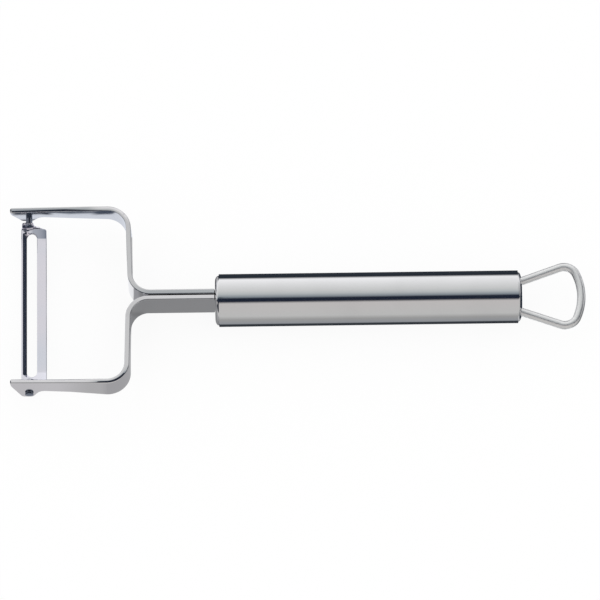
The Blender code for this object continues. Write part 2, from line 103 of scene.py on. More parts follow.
class Grain(Enum):
    """Direction of the fine lines that polishing leaves, as noise cells per metre along X, Y and Z."""

    ALONG_X = (60.0, 2600.0, 2600.0)
    ALONG_Y = (2600.0, 60.0, 2600.0)
    EVEN = (900.0, 900.0, 900.0)


class Side(Enum):
    """Which side of the peeler a mirrored piece is on."""

    RIGHT = 1
    LEFT = -1

    @property
    def word(self) -> str:
        """The side's name as it stands in piece names."""
        return self.name.lower()


class Value:
    """A shader socket that can be used in arithmetic; each operation adds a Math node."""

    def __init__(self, graph: "Graph", socket: bpy.types.NodeSocket) -> None:
        """Wrap an output socket of a graph that carries one number."""
        self.graph = graph
        self.socket = socket

    def _math(self, operation: str, first: "Value | float", second: "Value | float") -> "Value":
        """The output of a new Math node on two inputs."""
        return self.graph.value("ShaderNodeMath", {"operation": operation}, {0: first, 1: second})

    def __add__(self, other: "Value | float") -> "Value":
        """This plus another."""
        return self._math("ADD", self, other)

    __radd__ = __add__

    def __sub__(self, other: "Value | float") -> "Value":
        """This less another."""
        return self._math("SUBTRACT", self, other)

    def __rsub__(self, other: float) -> "Value":
        """Another less this."""
        return self._math("SUBTRACT", other, self)

    def __mul__(self, other: "Value | float") -> "Value":
        """This times another."""
        return self._math("MULTIPLY", self, other)

    __rmul__ = __mul__

    def angle_from(self, other: "Value") -> "Value":
        """The angle whose tangent is this over another, over the whole turn."""
        return self._math("ARCTAN2", self, other)

    def fraction(self) -> "Value":
        """What is left of this past a whole number."""
        return self._math("FRACT", self, 0.0)

    def size(self) -> "Value":
        """This without its sign."""
        return self._math("ABSOLUTE", self, 0.0)

    def between(self, first: float, second: float) -> "Value":
        """A smooth step from 0 at the first limit to 1 at the second, which may be the lower of them."""
        inputs = {"Value": self, "From Min": first, "From Max": second}
        return self.graph.value("ShaderNodeMapRange", {"interpolation_type": "SMOOTHSTEP"}, inputs)


class Graph:
    """A node tree that nodes are added to in one way."""

    def __init__(self, tree: bpy.types.NodeTree) -> None:
        """Take over the node tree of a material or of the world, and empty it."""
        self.tree = tree
        tree.nodes.clear()

    def add(self, kind: str, settings: dict | None = None, inputs: dict | None = None) -> bpy.types.Node:
        """Add a node.

        Args:
            kind: the node's type.
            settings: its own settings, set first.
            inputs: a value or a link for each socket, by name or number.

        Returns:
            The new node.
        """
        node = self.tree.nodes.new(kind)
        for name, setting in (settings or {}).items():
            setattr(node, name, setting)
        for name, value in (inputs or {}).items():
            self._feed(node.inputs[name], value)
        return node

    def _feed(self, target: bpy.types.NodeSocket, value: object) -> None:
        """Link a socket, or set its constant.

        Args:
            target: the input socket.
            value: a Value, an output socket, or a constant.
        """
        if isinstance(value, Value):
            value = value.socket
        if isinstance(value, bpy.types.NodeSocket):
            self.tree.links.new(value, target)
        else:
            target.default_value = value

    def value(self, kind: str, settings: dict | None = None, inputs: dict | None = None) -> Value:
        """Add a node and take its first output as a number."""
        return Value(self, self.add(kind, settings, inputs).outputs[0])

    def ramp(self, factor: Value, stops: list[tuple[float, Tone]]) -> bpy.types.NodeSocket:
        """Add a colour ramp. Its stops are placed first and coloured after, in case placing one sorts them.

        Args:
            factor: where to read the ramp, from 0 to 1.
            stops: places and their tones, in rising order.

        Returns:
            The colour socket.
        """
        node = self.add("ShaderNodeValToRGB", None, {"Fac": factor})
        elements = node.color_ramp.elements
        while len(elements) < len(stops):
            elements.new(0.5)
        for element, (place, _) in zip(elements, stops):
            element.position = place
        for element, (_, tone) in zip(elements, stops):
            element.color = (*tone, 1.0)
        return node.outputs["Color"]

    def mix_colors(self, factor: Value | float, first: object, second: object) -> bpy.types.NodeSocket:
        """Mix two colours, or their sockets, by the second one's share."""
        return self.add("ShaderNodeMix", {"data_type": "RGBA"}, {0: factor, 6: first, 7: second}).outputs[2]


def shaded(name: str) -> tuple[bpy.types.Material, Graph]:
    """Make a material whose nodes are still to be added.

    Args:
        name: the material's name.

    Returns:
        The material and its empty graph.
    """
    material = bpy.data.materials.new(name)
    material.use_nodes = True
    return material, Graph(material.node_tree)


@dataclass(frozen=True)
class SteelFinish:
    """Polished or ground stainless steel with fine lines and a faint haze.

    Roughness runs from gloss, in the clear of the polish, to haze where it is rubbed. The tone times worn is
    the tone in the thick of the haze. The ranges are those of the noise over which each change happens.
    """

    name: str
    slot: str
    tone: Tone = (0.80, 0.80, 0.81)
    gloss: float = 0.05
    haze: float = 0.11
    grain: Grain = Grain.EVEN
    line_height: float = 2e-6
    worn: Tone = (0.94, 0.94, 0.94)
    haze_cells_per_m: float = 55.0
    haze_detail: float = 3.0
    line_detail: float = 4.0
    line_share: float = 0.55
    line_strength: float = 0.35
    rubbed_range: Pair = (0.35, 0.75)
    dull_range: Pair = (0.4, 0.8)

    def material(self, piece: str) -> bpy.types.Material:
        """Build the material.

        Args:
            piece: name of the piece that it is for.

        Returns:
            A metallic Principled material whose roughness and tone follow noise.
        """
        material, graph = shaded(f"{self.name}_{piece}")
        place = graph.add("ShaderNodeTexCoord").outputs["Object"]
        stretched = graph.add("ShaderNodeMapping", None, {"Vector": place, "Scale": self.grain.value})
        lines, cloud = (
            graph.value("ShaderNodeTexNoise", None, {"Vector": vector, "Scale": scale, "Detail": detail})
            for vector, scale, detail in (
                (stretched.outputs[0], 1.0, self.line_detail),
                (place, self.haze_cells_per_m, self.haze_detail),
            )
        )
        rubbed = lines * self.line_share + cloud * (1.0 - self.line_share)
        roughness = self.gloss + rubbed.between(*self.rubbed_range) * (self.haze - self.gloss)
        dull = tuple(share * channel for share, channel in zip(self.worn, self.tone))
        color = graph.mix_colors(cloud.between(*self.dull_range), (*self.tone, 1.0), (*dull, 1.0))
        relief = {"Strength": self.line_strength, "Distance": self.line_height, "Height": lines}
        bump = graph.add("ShaderNodeBump", None, relief)
        steel = {"Base Color": color, "Metallic": 1.0, "Roughness": roughness, "Normal": bump.outputs[0]}
        shader = graph.add("ShaderNodeBsdfPrincipled", None, steel)
        graph.add("ShaderNodeOutputMaterial", None, {"Surface": shader.outputs[0]})
        return material


def surface(name: str, grid: np.ndarray, wrap_rows: bool = False, cap_ends: bool = False) -> bpy.types.Mesh:
    """Mesh of a grid whose rows are closed rings.

    Each face joins four neighbours of the grid, point (i, j) to (i + 1, j + 1). Rows that shrink to a
    point are merged there.

    Args:
        name: the mesh's name.
        grid: points, shaped (rows, ring, 3).
        wrap_rows: whether the last row joins the first.
        cap_ends: whether a flat face closes the first and the last row.

    Returns:
        A closed mesh whose faces point outwards.
    """
    rows, ring, _ = grid.shape
    row_count = rows if wrap_rows else rows - 1
    row = np.arange(row_count)[:, None]
    step = np.arange(ring)[None, :]
    next_row = (row + 1) % rows
    next_step = (step + 1) % ring
    corners = (row * ring + step, row * ring + next_step, next_row * ring + next_step, next_row * ring + step)
    faces = np.stack(np.broadcast_arrays(*corners), axis=-1).reshape(-1, 4).tolist()
    if cap_ends:
        faces += [list(range(ring))[::-1], list(range((rows - 1) * ring, rows * ring))]
    mesh = bpy.data.meshes.new(name)
    mesh.from_pydata(grid.reshape(-1, 3).tolist(), [], faces)
    shell = bmesh.new()
    shell.from_mesh(mesh)
    bmesh.ops.remove_doubles(shell, verts=shell.verts, dist=SAME_POINT)
    bmesh.ops.dissolve_degenerate(shell, edges=shell.edges, dist=NO_LENGTH)
    bmesh.ops.recalc_face_normals(shell, faces=shell.faces)
    shell.to_mesh(mesh)
    shell.free()
    return mesh


def turned(start: float, end: float) -> np.ndarray:
    """Angles of an arc's points from its start to its end, at even steps."""
    return np.linspace(start, end, max(LEAST_ARC_POINTS, math.ceil(abs(end - start) / ARC_STEP) + 1))


@dataclass
class Path:
    """A line of straight runs and arcs in a plane, as complex points with the heading at each."""

    points: np.ndarray
    headings: np.ndarray
    bend_ends: tuple[float, ...] = ()

    @classmethod
    def rounded(cls, corners: list[complex], radii: list[float]) -> "Path":
        """Join corners by straight runs and round them.

        An arc starts the radius times the tangent of half the turn before its corner. Its points are
        its centre plus the start's arm turned by even steps, and the headings turn by the same steps.

        Args:
            corners: the line's ends and the corners between them.
            radii: the radius at each corner between the ends.

        Returns:
            The rounded line.
        """
        heading = cmath.phase(corners[1] - corners[0])
        points = [np.array([corners[0]])]
        headings = [np.array([heading])]
        for before, corner, after, radius in zip(corners, corners[1:], corners[2:], radii):
            run_in = (corner - before) / abs(corner - before)
            turn = cmath.phase((after - corner) / run_in)
            start = corner - run_in * radius * math.tan(abs(turn) / 2)
            centre = start + 1j * math.copysign(radius, turn) * run_in
            turns = turned(0.0, turn)
            points.append(centre + (start - centre) * np.exp(1j * turns))
            headings.append(heading + turns)
            heading += turn
        points.append(np.array([corners[-1]]))
        headings.append(np.array([heading]))
        last_of_arc = np.cumsum([len(run) for run in points])[1:-1] - 1
        line = cls(np.concatenate(points), np.concatenate(headings))
        line.bend_ends = tuple(line.marks[last_of_arc])
        return line

    @classmethod
    def arc(cls, centre: complex, radius: float, start: float, end: float) -> "Path":
        """An arc, whose headings are square to its radii.

        Args:
            centre: the arc's centre.
            radius: its radius.
            start: the angle of its first point about the centre.
            end: the angle of its last point.

        Returns:
            The arc.
        """
        angles = turned(start, end)
        square = math.copysign(math.pi / 2, end - start)
        return cls(centre + radius * np.exp(1j * angles), angles + square)

    def then(self, other: "Path") -> "Path":
        """This line followed by another that starts where it ends."""
        points = np.concatenate([self.points, other.points])
        return Path(points, np.concatenate([self.headings, other.headings]))

    def mirrored(self) -> "Path":
        """The line's mirror image across the real axis, run backwards."""
        return Path(np.conj(self.points)[::-1], math.pi - self.headings[::-1])

    @property
    def marks(self) -> np.ndarray:
        """Distance of each point from the start, along the line."""
        return np.concatenate([[0.0], np.cumsum(np.abs(np.diff(self.points)))])

    def at(self, marks: np.ndarray) -> tuple[np.ndarray, np.ndarray]:
        """Read the line off between its own points.

        Args:
            marks: distances along the line.

        Returns:
            The points and the headings there.
        """
        own = self.marks
        points = np.interp(marks, own, self.points.real) + 1j * np.interp(marks, own, self.points.imag)
        return points, np.interp(marks, own, self.headings)

    def height(self, places: np.ndarray) -> np.ndarray:
        """The line's imaginary part where its real part, which must rise, has the given values."""
        return np.interp(places, self.points.real, self.points.imag)


def stations(spacing: float, *marks: np.ndarray) -> np.ndarray:
    """Distances to put a row of points at: all the marks, and enough between them.

    Args:
        spacing: the widest step between two rows.
        marks: places that need a row.

    Returns:
        The distances in rising order, without near doubles.
    """
    fixed = np.unique(np.concatenate(marks))
    even = np.linspace(fixed[0], fixed[-1], math.ceil((fixed[-1] - fixed[0]) / spacing) + 1)
    merged = np.unique(np.concatenate([fixed, even]))
    keep = np.concatenate([[True], np.diff(merged) > SAME_STATION])
    return merged[keep]


@dataclass(frozen=True)
class BarSection:
    """Ring round a flat bar with rounded edges, as shares of a width that changes along the bar."""

    thickness: float
    near_radius: float
    far_radius: float
    lower_radius: float
    steps: int = 8
    spans: int = 0
    top_spans: int = 0

    def ring(self) -> Rings:
        """Walk round the section: near upper corner, far upper, far lower, near lower.

        Each corner is a quarter turn about a centre one radius in from both faces, with a point on
        either flat close to it. Even points follow along the upright faces, which come after the far
        upper and the near lower corner, and along the upper face.

        Returns:
            Offset across the thickness, share of the way from the lower edge to the upper one, and
            offset from there along the width.
        """
        half = self.thickness / 2
        across, share, along = [], [], []
        quarters = (
            (1, 1, self.near_radius, 0.0),
            (-1, 1, self.far_radius, math.pi / 2),
            (-1, 0, self.lower_radius, math.pi),
            (1, 0, self.lower_radius, 3 * math.pi / 2),
        )
        for side, top, radius, start in quarters:
            turns = np.linspace(start, start + math.pi / 2, self.steps + 1)
            inward = -radius if top else radius
            before = (math.cos(start - math.pi / 2), math.sin(start - math.pi / 2))
            after = (math.cos(start + math.pi), math.sin(start + math.pi))
            corner_across = side * (half - radius) + radius * np.cos(turns)
            corner_along = inward + radius * np.sin(turns)
            first = (corner_across[0] + before[0] * SUPPORT, corner_along[0] + before[1] * SUPPORT)
            last = (corner_across[-1] + after[0] * SUPPORT, corner_along[-1] + after[1] * SUPPORT)
            across.append(np.concatenate([[first[0]], corner_across, [last[0]]]))
            along.append(np.concatenate([[first[1]], corner_along, [last[1]]]))
            share.append(np.full(self.steps + 3, float(top)))
            if side * (2 * top - 1) < 0:
                down = np.linspace(float(top), 1.0 - top, self.spans + 2)[1:-1]
                upper_radius = self.near_radius if side > 0 else self.far_radius
                lower, upper = self.lower_radius + SUPPORT, -upper_radius - SUPPORT
                across.append(np.full(self.spans, side * half))
                share.append(down)
                along.append(lower + (upper - lower) * down)
            elif top:
                near, far = half - self.near_radius - SUPPORT, self.far_radius + SUPPORT - half
                across.append(np.linspace(near, far, self.top_spans + 2)[1:-1])
                share.append(np.ones(self.top_spans))
                along.append(np.zeros(self.top_spans))
        return np.concatenate(across), np.concatenate(share), np.concatenate(along)


def rounded_end(marks: np.ndarray, end: float, radius: float) -> np.ndarray:
    """How far a section draws in near the end of a bar, as the fall of a quarter circle there."""
    into = np.clip((marks - (end - radius)) / radius, 0.0, 1.0)
    return radius * (1.0 - np.sqrt(1.0 - into ** 2))


def end_marks(end: float, radius: float) -> np.ndarray:
    """Rows for a rounded end, at even steps of its quarter circle."""
    return end - radius + radius * np.sin(np.linspace(0.0, math.pi / 2, END_ROWS))


def revolved(name: str, profile: np.ndarray, axis_start: Vector, axis: Vector, steps: int) -> bpy.types.Mesh:
    """Turn a profile about an axis.

    A point's place is the axis' start, plus its first number along the axis, plus its second times
    the cosine and the sine of the angle along two directions square to the axis.

    Args:
        name: the mesh's name.
        profile: points (distance along the axis, radius), from axis to axis or round a closed loop.
        axis_start: where distances are measured from.
        axis: direction of the axis.
        steps: points round a turn.

    Returns:
        The turned mesh.
    """
    forward = np.array(axis.normalized())
    aside = np.array(axis.orthogonal().normalized())
    angles = np.linspace(0.0, 2 * math.pi, steps, endpoint=False)
    outward = np.cos(angles)[:, None] * aside + np.sin(angles)[:, None] * np.cross(forward, aside)
    grid = np.array(axis_start) + profile[:, :1, None] * forward + profile[:, 1:, None] * outward
    off_axis = profile[0, 1] > 0.0
    return surface(name, grid, wrap_rows=off_axis)


@dataclass(frozen=True)
class Datum:
    """Places that the solids give: the handle's faces and axis, and the blade's pivot."""

    front_x: float
    rear_x: float
    axis_z: float
    handle_radius: float
    pivot_x: float

    @classmethod
    def of_frame(cls) -> "Datum":
        """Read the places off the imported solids.

        Returns:
            The places.
        """
        low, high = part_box("handle_tube")
        pivot = frame["joints"][0]["pos_m"]
        return cls(
            front_x=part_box("front_cap")[0].x,
            rear_x=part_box("rear_cap")[1].x,
            axis_z=(low.z + high.z) / 2,
            handle_radius=(high.z - low.z) / 2,
            pivot_x=pivot[0],
        )

    def on_axis(self, x: float) -> Vector:
        """The point of the handle's axis at an x."""
        return Vector((x, 0.0, self.axis_z))


@dataclass
class SubAssembly:
    """Pieces that ride on one body and share how they are shown."""

    datum: Datum
    finish: SteelFinish
    body: Body
    crease_deg: float = 32.0

    def show(self, name: str, mesh: bpy.types.Mesh, *nodes: str) -> None:
        """Make a mesh a visible piece.

        Args:
            name: the piece's name.
            mesh: its mesh, in place.
            nodes: the CAD nodes that it stands for.
        """
        piece = bpy.data.objects.new(name, mesh)
        bpy.context.scene.collection.objects.link(piece)
        mesh.materials.append(self.finish.material(name))
        mesh.shade_smooth()
        mesh.set_sharp_from_angle(angle=math.radians(self.crease_deg))
        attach(piece, self.body.value)
        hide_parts(*nodes)
        LOG.info("%s: %d faces, for %s", name, len(mesh.polygons), ", ".join(nodes))


@dataclass
class Handle(SubAssembly):
    """The tube and the two plugs welded in its ends and polished flush with it."""

    wall: float = 1.0 * MM
    rims: Pair = mm(1.15, 1.25)
    spigot: float = 5.0 * MM
    step: float = 0.45 * MM
    front_edge: Pair = mm(1.1, 1.8)
    rear_edge: Pair = mm(1.2, 3.4)
    edge_points: int = 25
    steps: int = 256

    def plug(self, edge: Pair, rim: float) -> np.ndarray:
        """Profile of a plug from its outer face: flat, quarter ellipse, rim, spigot.

        Args:
            edge: how far the rounding goes along the axis and across it.
            rim: how far the plug stands out of the tube.

        Returns:
            Points (distance from the face, radius).
        """
        along, across = edge
        outer = self.datum.handle_radius - self.step
        inner = self.datum.handle_radius - self.wall
        turns = np.linspace(0.0, math.pi / 2, self.edge_points)
        rounding = np.stack(
            [along * (1 - np.cos(turns)), outer - across * (1 - np.sin(turns))], axis=1)
        flat = [(0.0, 0.0), (0.0, outer - across - SUPPORT)]
        rest = [(rim, outer), (rim, inner), (rim + self.spigot, inner), (rim + self.spigot, 0.0)]
        return np.concatenate([flat, rounding, rest])

    def tube(self) -> np.ndarray:
        """Profile of the tube's wall between the two rims.

        Returns:
            Points (distance from the front face, radius), round a closed loop.
        """
        outer = self.datum.handle_radius
        inner = outer - self.wall
        start = self.rims[0]
        end = self.datum.rear_x - self.datum.front_x - self.rims[1]
        return np.array([(start, outer), (end, outer), (end, inner), (start, inner)])

    def build(self) -> None:
        """Make the tube and both plugs."""
        forwards, backwards = Vector((1.0, 0.0, 0.0)), Vector((-1.0, 0.0, 0.0))
        front = self.datum.on_axis(self.datum.front_x)
        rear = self.datum.on_axis(self.datum.rear_x)
        shapes = (
            ("handle_shell", self.tube(), front, forwards, "handle_tube"),
            ("front_plug", self.plug(self.front_edge, self.rims[0]), front, forwards, "front_cap"),
            ("rear_plug", self.plug(self.rear_edge, self.rims[1]), rear, backwards, "rear_cap"),
        )
        for name, profile, start, axis, node in shapes:
            self.show(name, revolved(name, profile, start, axis, self.steps), node)


@dataclass
class HangingLoop(SubAssembly):
    """One length of round wire bent to a keystone, its two tails in the rear plug."""

    wire: float = 2.5 * MM
    foot_spacing: float = 10.0 * MM
    width: float = 18.8 * MM
    reach: float = 18.0 * MM
    corner_radius: float = 4.0 * MM
    end_radius: float = 17.4 * MM
    tail: float = 6.0 * MM
    row_spacing: float = 0.5 * MM
    ring: int = 48

    def line(self) -> Path:
        """The wire's middle line from one tail to the other, from the middle of the rear face.

        The corner arc lies inside the wide end's arc and touches it. The leg is the tangent to the
        corner arc from the foot, so its angle is that of the line to the arc's centre plus the angle
        whose sine is the radius over that distance.

        Returns:
            The line.
        """
        corner_y = self.width / 2 - self.corner_radius
        gap = self.end_radius - self.corner_radius
        end_centre = complex(self.reach - self.end_radius, 0.0)
        corner = complex(end_centre.real + math.sqrt(gap ** 2 - corner_y ** 2), corner_y)
        foot = 1j * self.foot_spacing / 2
        angle = cmath.phase(corner - foot) + math.asin(self.corner_radius / abs(corner - foot))
        touch = cmath.phase(corner - end_centre)
        tail = Path(np.array([foot - cmath.rect(self.tail, angle)]), np.array([angle]))
        upper = tail.then(Path.arc(corner, self.corner_radius, angle + math.pi / 2, touch))
        return upper.then(Path.arc(end_centre, self.end_radius, touch, -touch)).then(upper.mirrored())

    def build(self) -> None:
        """Carry a circle along the line: out from it by the cosine, up by the sine."""
        line = self.line()
        marks = stations(self.row_spacing, line.marks)
        points, headings = line.at(marks)
        turns = np.linspace(0.0, 2 * math.pi, self.ring, endpoint=False)
        radius = self.wire / 2
        flat = points[:, None] + 1j * np.exp(1j * headings)[:, None] * radius * np.cos(turns)
        heights = np.broadcast_to(self.datum.axis_z + radius * np.sin(turns), flat.shape)
        grid = np.stack([self.datum.rear_x + flat.real, flat.imag, heights], axis=-1)
        self.show("wire_loop", surface("wire_loop", grid, cap_ends=True), "hanging_loop")


@dataclass
class Yoke(SubAssembly):
    """Two bent straps that lie back to back along the neck and part to carry the blade.

    An ear's sizes are measured back from the strap's tip and down from the arm's upper edge. The inner
    roundings are those of the inner upper edge at four places: the ends of the neck's bend and of the
    corner's, the wear distance past that, and the tip. The facet's runs are measured from the end of the
    corner's bend, towards the tip.
    """

    thickness: float = 1.5 * MM
    seam: float = 0.3 * MM
    inner_roundings: tuple[float, ...] = mm(0.28, 0.15, 0.85, 0.60)
    outer_rounding: float = 0.30 * MM
    lower_rounding: float = 0.25 * MM
    neck_roll_deg: float = 8.0
    arm_roll_deg: float = 4.5
    wear_distance: float = 13.0 * MM
    facet_runs: tuple[float, ...] = mm(-8.5, -5.5, 2.5, 5.5)
    facet_slopes_deg: tuple[float, ...] = (0.0, 29.0, 21.0, 0.0)
    facet_start: float = 0.1 * MM
    tang_length: float = 6.5 * MM
    tang_width: float = 8.0 * MM
    shoulder_gap: float = 0.02 * MM
    shoulder: float = 0.2 * MM
    neck_width: float = 12.1 * MM
    neck_length: float = 25.9 * MM
    neck_scatter: float = 0.33 * MM
    width: float = 57.3 * MM
    reach: float = 62.0 * MM
    neck_bend_radius: float = 6.2 * MM
    corner_bend_radius: float = 6.2 * MM
    back_lean_deg: float = 1.5
    toe_in_deg: float = 0.6
    arm_flare_deg: float = 3.8
    ear_flare_deg: float = 5.5
    arm_rise: float = 0.8 * MM
    corner_width: float = 8.8 * MM
    arm_middle_width: float = 6.8 * MM
    arm_middle_reach: float = 44.0 * MM
    arm_middle_radius: float = 10.0 * MM
    ear_depth: float = 9.6 * MM
    tip_depth: float = 1.9 * MM
    slope_length: float = 3.5 * MM
    foot_length: float = 3.2 * MM
    heel_length: float = 2.2 * MM
    heel_depth: float = 5.6 * MM
    foot_radius: float = 1.1 * MM
    heel_radius: float = 2.5 * MM
    tip_rounding: float = 0.55 * MM
    row_spacing: float = 1.0 * MM
    top_spans: int = 3

    def line(self, side: Side) -> Path:
        """The right strap's middle line seen from above, from its tang to its tip.

        No two straps are bent alike: one neck is longer than the other by twice the scatter.

        Args:
            side: which strap; its line is given as if it were the right one.

        Returns:
            The line, from the middle of the handle's front face.
        """
        seam_side = (self.thickness + self.seam) / 2
        back = cmath.rect(1.0, math.pi / 2 + math.radians(self.back_lean_deg))
        arm = cmath.rect(1.0, math.pi + math.radians(self.toe_in_deg))
        neck_corner = complex(side.value * self.neck_scatter - self.neck_length, seam_side)
        arm_y = (self.width - self.thickness) / 2
        arm_corner = neck_corner + back * (arm_y - seam_side) / back.imag
        tip = arm_corner + arm * (self.reach + arm_corner.real) / -arm.real
        corners = [complex(self.tang_length, seam_side), neck_corner, arm_corner, tip]
        return Path.rounded(corners, [self.neck_bend_radius, self.corner_bend_radius])

    def edges(self, line: Path) -> tuple[Path, Path]:
        """Lay out the strap's edges before it is bent, as (distance, height from the axis).

        Args:
            line: the strap's middle line.

        Returns:
            The lower and the upper edge.
        """
        length = line.marks[-1]
        neck_bend_end, corner_end = line.bend_ends
        neck = self.neck_width / 2
        arm_top = neck + self.arm_rise
        seat = self.tang_length + self.shoulder_gap
        shoulder = [complex(0.0, self.tang_width / 2), complex(seat, self.tang_width / 2)]
        shoulder += [complex(seat + self.shoulder, neck), complex(neck_bend_end, neck)]
        upper = shoulder + [complex(corner_end, arm_top), complex(length, arm_top)]
        foot_start = length - self.slope_length - self.foot_length
        lower_arm = [
            complex(corner_end, arm_top - self.corner_width),
            complex(self.arm_middle(length), arm_top - self.arm_middle_width),
            complex(foot_start - self.heel_length, arm_top - self.heel_depth),
            complex(foot_start, arm_top - self.ear_depth),
            complex(foot_start + self.foot_length, arm_top - self.ear_depth),
            complex(length, arm_top - self.tip_depth),
        ]
        radii = [self.arm_middle_radius, self.heel_radius, self.foot_radius, self.foot_radius]
        ear = Path.rounded(lower_arm, radii)
        flat_start = Path(np.conj(np.array(shoulder)), np.zeros(len(shoulder)))
        return flat_start.then(ear), Path(np.array(upper), np.zeros(len(upper)))

    def arm_middle(self, length: float) -> float:
        """Distance along the strap at which its arm is narrowest."""
        return length - self.reach + self.arm_middle_reach

    def flare(self, line: Path, marks: np.ndarray) -> np.ndarray:
        """Outward slope of the strap at each row.

        It grows with the square of the way along the back, and again evenly from the arm's middle
        to the ear.

        Args:
            line: the strap's middle line.
            marks: the rows' distances along it.

        Returns:
            The slopes, across over down.
        """
        length = line.marks[-1]
        on_back = np.interp(marks, line.bend_ends, [0.0, 1.0])
        ear_start = length - self.slope_length - self.foot_length - self.heel_length
        on_arm = np.interp(marks, [self.arm_middle(length), ear_start], [0.0, 1.0])
        arm_slope, ear_slope = slope(self.arm_flare_deg), slope(self.ear_flare_deg)
        return on_back ** 2 * arm_slope + on_arm * (ear_slope - arm_slope)

    def roll(self, line: Path, marks: np.ndarray) -> np.ndarray:
        """How far the edges slope down to the inner side: with the neck's or the arm's roll and the flare.

        The neck's roll fades over its bend by a smooth step, and the arm's comes evenly over the corner.

        Args:
            line: the strap's middle line.
            marks: the rows' distances along it.

        Returns:
            The slopes, down over across.
        """
        bend_end, corner_end = line.bend_ends
        past = np.interp(marks, [bend_end - self.neck_bend_radius * math.pi / 2, bend_end], [0.0, 1.0])
        on_neck = 1.0 - past ** 2 * (3.0 - 2.0 * past)
        on_arm = np.interp(marks, [corner_end - self.corner_bend_radius, corner_end], [0.0, 1.0])
        rolls = on_neck * slope(self.neck_roll_deg) + on_arm * slope(self.arm_roll_deg)
        return rolls + self.flare(line, marks)

    def facet(self, line: Path, marks: np.ndarray) -> np.ndarray:
        """Slope of the flat that polishing leaves round the corner on the outer half of the upper edge."""
        past_corner = marks - line.bend_ends[1]
        return np.interp(past_corner, self.facet_runs, np.tan(np.radians(self.facet_slopes_deg)))

    def section(self, line: Path, marks: np.ndarray) -> Rings:
        """Bar section at each row: the sharpest one plus the wear's share of the way to the bluntest.

        Args:
            line: the strap's middle line.
            marks: the rows' distances along it.

        Returns:
            What BarSection.ring gives, with a row for each distance.
        """
        neck_bend_end, corner_end = line.bend_ends
        places = [neck_bend_end, corner_end, corner_end + self.wear_distance, line.marks[-1]]
        least, most = min(self.inner_roundings), max(self.inner_roundings)
        thickness, outer, under = self.thickness, self.outer_rounding, self.lower_rounding
        worn = (np.interp(marks, places, self.inner_roundings)[:, None] - least) / (most - least)
        sharp, blunt = (
            BarSection(thickness, inner, outer, under, top_spans=self.top_spans).ring()
            for inner in (least, most))
        return tuple(first + worn * (last - first) for first, last in zip(sharp, blunt))

    def strap(self, side: Side) -> bpy.types.Mesh:
        """Carry the bar's section along its line.

        A point goes out from the line by its place across the thickness, less the flare's slope times
        its depth below the upper edge, and down by the roll's slope times its place across. Outwards of
        the facet's start, the upper edge also goes down by the facet's slope. The left strap is the mirror
        image.

        Args:
            side: which strap.

        Returns:
            The strap's mesh.
        """
        line = self.line(side)
        lower, upper = self.edges(line)
        length = line.marks[-1]
        tip = end_marks(length, self.tip_rounding)
        marks = stations(self.row_spacing, line.marks, lower.points.real, upper.points.real, tip)
        points, headings = line.at(marks)
        draw_in = rounded_end(marks, length, self.tip_rounding)[:, None]
        low = lower.height(marks)[:, None] + draw_in
        high = upper.height(marks)[:, None] - draw_in
        across, share, along = self.section(line, marks)
        height = low + share * (high - low) + along - self.roll(line, marks)[:, None] * across
        outwards = np.maximum(self.facet_start - across, 0.0)
        height = height - self.facet(line, marks)[:, None] * share * outwards
        half = self.thickness / 2
        out = across * (half - draw_in) / half - self.flare(line, marks)[:, None] * (high - height)
        flat = points[:, None] + 1j * np.exp(1j * headings)[:, None] * out
        x, y, z = self.datum.front_x + flat.real, side.value * flat.imag, self.datum.axis_z + height
        return surface(f"{side.word}_yoke_strap", np.stack([x, y, z], axis=-1), cap_ends=True)

    def build(self) -> None:
        """Make both straps."""
        for side in Side:
            self.show(f"{side.word}_yoke_strap", self.strap(side), f"{side.word}_strap")


